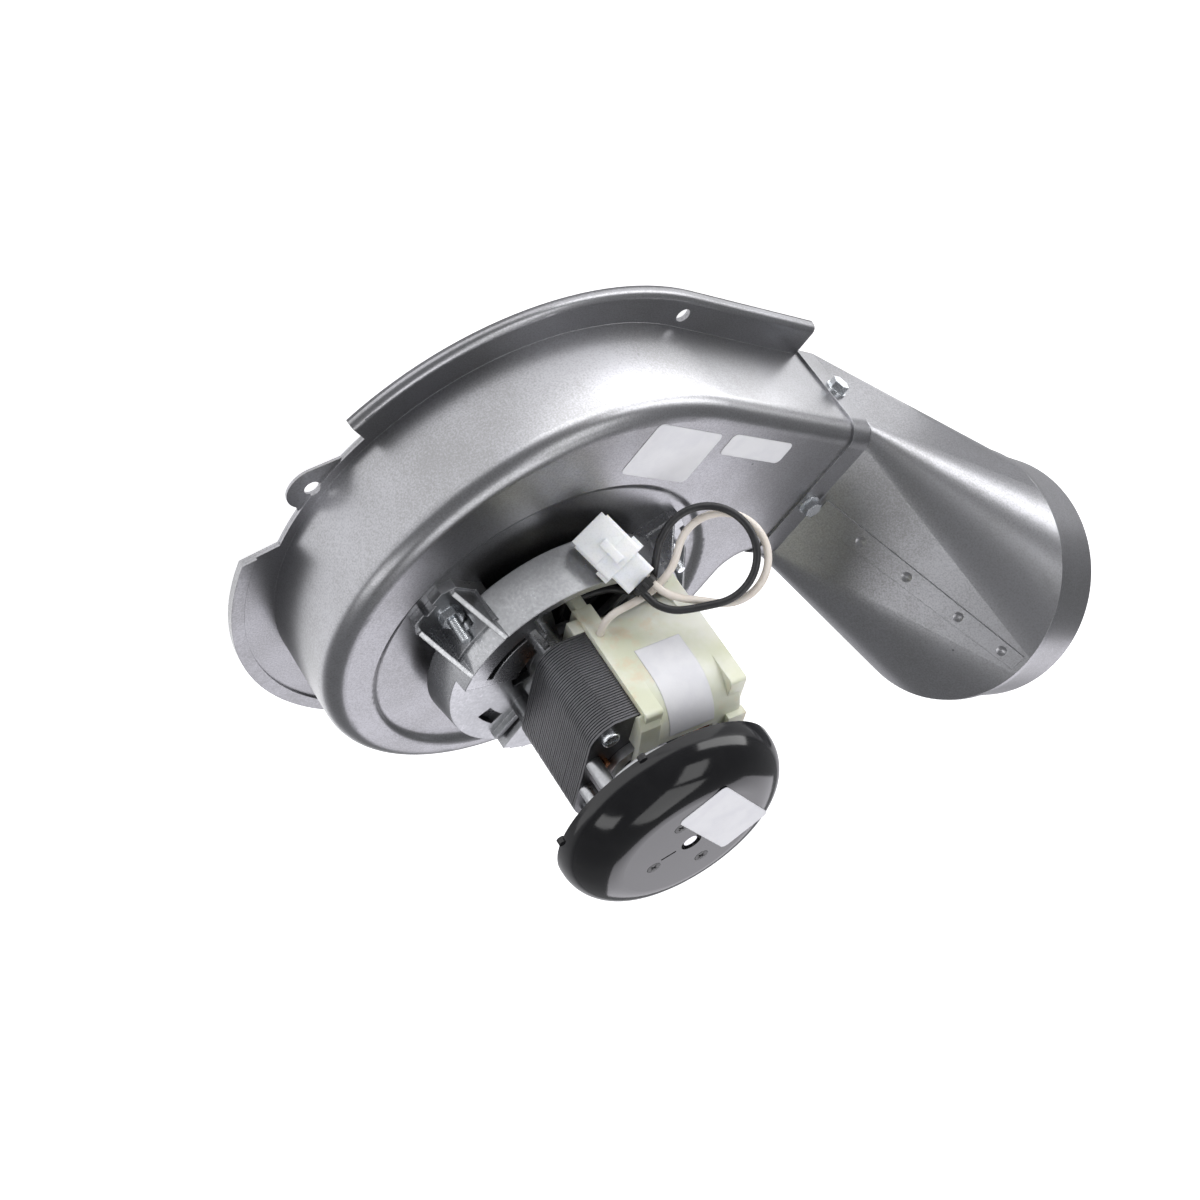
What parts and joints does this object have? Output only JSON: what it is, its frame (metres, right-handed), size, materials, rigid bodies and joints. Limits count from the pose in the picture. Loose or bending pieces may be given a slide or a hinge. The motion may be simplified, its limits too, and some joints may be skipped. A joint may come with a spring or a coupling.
{
  "type": "combustion fan",
  "caption": "Furnace combustion fan: sheet-metal scroll, square-to-round outlet and a shaded-pole motor with a domed shroud, looped leads and a plug.",
  "frame": {"origin": "on the motor shaft's axis, in the plane of the inlet gasket's rear face", "axes": "+Z along the shaft from the inlet towards the motor, +X the way the air leaves, +Y from the shaft towards the outlet side of the scroll"},
  "size_m": [0.2881, 0.2223, 0.1507],
  "materials": {
    "steel_sheet": "aluminised steel sheet, dull",
    "gasket_fibre": "pressed fibre gasket, matt",
    "cast_aluminium": "as die cast, satin",
    "zinc_steel": "bright zinc plated",
    "wheel_steel": "galvanised wheel",
    "shaft_steel": "ground steel",
    "fan_plastic": "black moulding",
    "lamination_steel": "dark varnished laminations",
    "copper": "varnished copper",
    "nylon_cream": "natural nylon, slightly milky",
    "nylon_white": "translucent white nylon",
    "bearing_bronze": "sintered bronze",
    "rotor_aluminium": "cast cage",
    "black_gloss": "gloss black",
    "black_screw": "black oxide",
    "label_paper": "blank white sticker",
    "lead_black": "black insulation",
    "lead_white": "off-white insulation",
    "tinned_brass": "tinned",
    "tie_black": "black nylon"
  },
  "bodies": {
    "fan_frame": {"scroll_housing": "steel_sheet", "back_plate": "steel_sheet", "inlet_gasket": "gasket_fibre", "outlet_transition": "steel_sheet", "outlet_collar": "steel_sheet", "duct_screws": "zinc_steel", "motor_mount": "cast_aluminium", "mount_studs": "zinc_steel", "mount_washers": "zinc_steel", "mount_nuts": "zinc_steel", "rear_bearing": "bearing_bronze", "stator_stack": "lamination_steel", "through_bolts": "zinc_steel", "shading_coils": "copper", "coil_bobbin": "nylon_white", "coil_winding": "copper", "coil_cover": "nylon_cream", "front_bracket": "cast_aluminium", "front_bearing": "bearing_bronze", "fan_shroud": "black_gloss", "shroud_screws": "black_screw", "shroud_label": "label_paper", "housing_label_large": "label_paper", "housing_label_small": "label_paper", "motor_label": "label_paper", "lead_white": "lead_white", "lead_black": "lead_black", "lead_terminals": "tinned_brass", "connector": "nylon_white", "cable_tie": "tie_black"},
    "rotor": {"motor_shaft": "shaft_steel", "rotor_core": "lamination_steel", "rotor_cage": "rotor_aluminium", "blower_wheel": "wheel_steel", "wheel_hub": "zinc_steel", "set_screw": "black_screw", "cooling_fan": "fan_plastic"}
  },
  "joints": [
    {"name": "rotor_spin", "type": "hinge", "parent": "fan_frame", "child": "rotor", "pos_m": [0, 0, 0], "axis": [0, 0, 1], "continuous": true}
  ]
}
